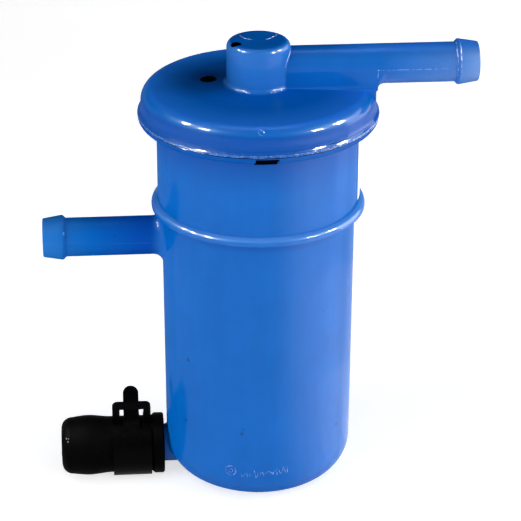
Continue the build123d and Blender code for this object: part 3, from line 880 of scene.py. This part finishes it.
def make_lamps():
    """Soft studio lamps around the object, all aimed at it."""
    for name, (azimuth, elevation, distance, width, height, power, use) in LAMPS.items():
        obj, light = add_area_light(name, "RECTANGLE", power)
        light.size = width
        light.size_y = height
        obj.visible_glossy = use != "light"
        obj.visible_diffuse = use != "shine"
        place = TARGET + direction(math.radians(azimuth), math.radians(elevation)) * distance
        turn = (place - TARGET).to_track_quat("Z", "Y").to_matrix().to_4x4()
        obj.matrix_world = Matrix.Translation(place) @ turn


def make_cards():
    """Bright cards that lie on the floor at the right and show only as a sheen on that side."""
    tilt = Matrix.Rotation(-math.atan(FLOOR_SLOPE), 4, "Y")
    face_up = Matrix.Rotation(math.pi, 4, "X")
    for name, (start, brightness) in CARDS.items():
        power = brightness * math.pi * CARD_SIDE * CARD_SIDE
        obj, light = add_area_light(name, "SQUARE", power)
        light.size = CARD_SIDE
        obj.visible_diffuse = False
        place = direction(math.radians(start + 45), 0) * (CARD_GAP + CARD_SIDE / math.sqrt(2))
        place.z = floor_height(place.x) + CARD_HEIGHT
        turn = tilt @ Matrix.Rotation(math.radians(start - 90), 4, "Z")
        obj.matrix_world = Matrix.Translation(place) @ turn @ face_up


def make_world():
    """Even light from around, less from overhead; plain white to the camera and reflections."""
    world = bpy.data.worlds.new("studio")
    world.use_nodes = True
    tree = world.node_tree
    background = tree.nodes["Background"]
    place = tree.nodes.new("ShaderNodeTexCoord")
    split = tree.nodes.new("ShaderNodeSeparateXYZ")
    tree.links.new(place.outputs["Generated"], split.inputs[0])
    rise = tree.nodes.new("ShaderNodeMapRange")
    rise.interpolation_type = "SMOOTHSTEP"
    for limit, angle in zip(("From Min", "From Max"), WORLD_FADE):
        rise.inputs[limit].default_value = math.sin(math.radians(angle))
    tree.links.new(split.outputs["Z"], rise.inputs["Value"])
    shade = tree.nodes.new("ShaderNodeMix")
    shade.data_type = "RGBA"
    shade.inputs[6].default_value = WHITE
    shade.inputs[7].default_value = WORLD_TOP
    tree.links.new(rise.outputs[0], shade.inputs["Factor"])
    tree.links.new(shade.outputs[2], background.inputs["Color"])
    path = tree.nodes.new("ShaderNodeLightPath")
    seen = path.outputs["Is Camera Ray"]
    for ray in ("Is Glossy Ray", "Is Transmission Ray"):
        both = tree.nodes.new("ShaderNodeMath")
        both.operation = "MAXIMUM"
        tree.links.new(seen, both.inputs[0])
        tree.links.new(path.outputs[ray], both.inputs[1])
        seen = both.outputs[0]
    strength = tree.nodes.new("ShaderNodeMapRange")
    strength.inputs["To Min"].default_value = WORLD_STRENGTH
    strength.inputs["To Max"].default_value = 1.0
    tree.links.new(seen, strength.inputs["Value"])
    tree.links.new(strength.outputs[0], background.inputs["Strength"])
    bpy.context.scene.world = world


def make_floor():
    """Pale floor under the object."""
    mesh = bpy.data.meshes.new("floor")
    half = FLOOR_SIZE / 2
    plan = ((-half, -half), (half, -half), (half, half), (-half, half))
    corners = [(x, y, floor_height(x)) for x, y in plan]
    mesh.from_pydata(corners, [], [(0, 1, 2, 3)])
    floor = bpy.data.objects.new("floor", mesh)
    bpy.context.scene.collection.objects.link(floor)
    shader = Shader("floor_paper")
    path = shader.add("ShaderNodeLightPath").outputs
    seen = shader.largest(path["Is Camera Ray"], path["Is Glossy Ray"])
    seen = shader.largest(seen, path["Is Transmission Ray"])
    shader.set(
        Base_Color=FLOOR_COLOUR,
        Roughness=1.0,
        Specular_IOR_Level=0.0,
        Emission_Color=WHITE,
        Emission_Strength=shader.times(seen, FLOOR_GLOW),
    )
    mesh.materials.append(shader.material)


def make_camera():
    """Camera that puts the object where the photograph has it."""
    data = bpy.data.cameras.new("camera")
    data.sensor_fit = "HORIZONTAL"
    data.sensor_width = SENSOR_WIDTH
    data.lens = FOCAL_PIXELS / FRAME_PIXELS * SENSOR_WIDTH
    data.shift_x = (FRAME_PIXELS / 2 - TARGET_PIXEL[0]) / FRAME_PIXELS
    data.shift_y = (TARGET_PIXEL[1] - FRAME_PIXELS / 2) / FRAME_PIXELS
    data.clip_start = CLIP_START
    data.clip_end = CLIP_END
    back = direction(CAMERA_AZIMUTH, CAMERA_ELEVATION)
    right = Vector((math.cos(CAMERA_AZIMUTH), math.sin(CAMERA_AZIMUTH), 0))
    up = back.cross(right)
    cosine, sine = math.cos(CAMERA_ROLL), math.sin(CAMERA_ROLL)
    turned_right = right * cosine + up * sine
    turned_up = up * cosine - right * sine
    turn = Matrix((turned_right, turned_up, back)).transposed().to_4x4()
    camera = bpy.data.objects.new("camera", data)
    camera.matrix_world = Matrix.Translation(TARGET + back * CAMERA_DISTANCE) @ turn
    bpy.context.scene.collection.objects.link(camera)
    bpy.context.scene.camera = camera


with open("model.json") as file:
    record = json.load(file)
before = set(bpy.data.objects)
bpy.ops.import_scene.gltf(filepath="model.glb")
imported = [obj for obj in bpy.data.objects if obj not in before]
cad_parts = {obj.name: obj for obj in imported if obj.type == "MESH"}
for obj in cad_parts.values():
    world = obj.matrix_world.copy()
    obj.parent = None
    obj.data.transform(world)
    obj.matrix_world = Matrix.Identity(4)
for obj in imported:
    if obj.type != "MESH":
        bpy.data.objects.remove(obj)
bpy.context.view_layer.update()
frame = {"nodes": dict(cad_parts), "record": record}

mounts = {mount["name"]: mount for mount in frame["record"]["mounts"]}
INLET_HEIGHT = mounts["inlet_nipple"]["pos_m"][2]
OUTLET_HEIGHT = mounts["outlet_nipple"]["pos_m"][2]
cap_low, cap_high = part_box("drain_cap")
DRAIN_HEIGHT = (cap_low.z + cap_high.z) / 2
clamp_low, clamp_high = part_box("cap_clamp")
FLOOR_SLOPE = -clamp_low.z / (BASE_FLAT_RADIUS - (clamp_low.x + clamp_high.x) / 2)

plain_blue = blue_plastic("blue_plastic")
housing_blue = blue_plastic("housing_plastic", housing_marks)
cover_blue = blue_plastic("cover_plastic", cover_marks)
rubber = black_rubber()
give("housing", housing_blue)
give("cover", cover_blue)
give("drain_cap", rubber)
give("cap_clamp", coated_steel())
give("label", label_film())
plain = {name: plain_material(name) for name in PLAIN_MATERIALS}
for node, name in INNER_NODES.items():
    give(node, plain[name])

housing_surface = Surface("housing")
cover_surface = Surface("cover")
cap_surface = Surface("drain_cap")
flash = flash_plastic()
weld_flash(flash, cover_surface)
boss_flash(flash, cover_surface)
boss_scar(flash, cover_surface)
barb_flash(flash, housing_surface, cover_surface)
parting_line("inlet_parting_line", plain_blue, housing_surface, INLET_HEIGHT, *INLET_LINE)
parting_line("outlet_parting_line", flash, cover_surface, OUTLET_HEIGHT, *OUTLET_LINE)
split_line(flash, cover_surface)
base_marks(flash, housing_surface)
lid_mark(flash, cover_surface)
cap_parting_line(rubber, cap_surface)
cap_glint_scuff(plain["scuff_glint_rubber"], cap_surface)

make_lamps()
make_cards()
make_world()
make_floor()
make_camera()
bpy.context.scene.view_settings.view_transform = "Standard"
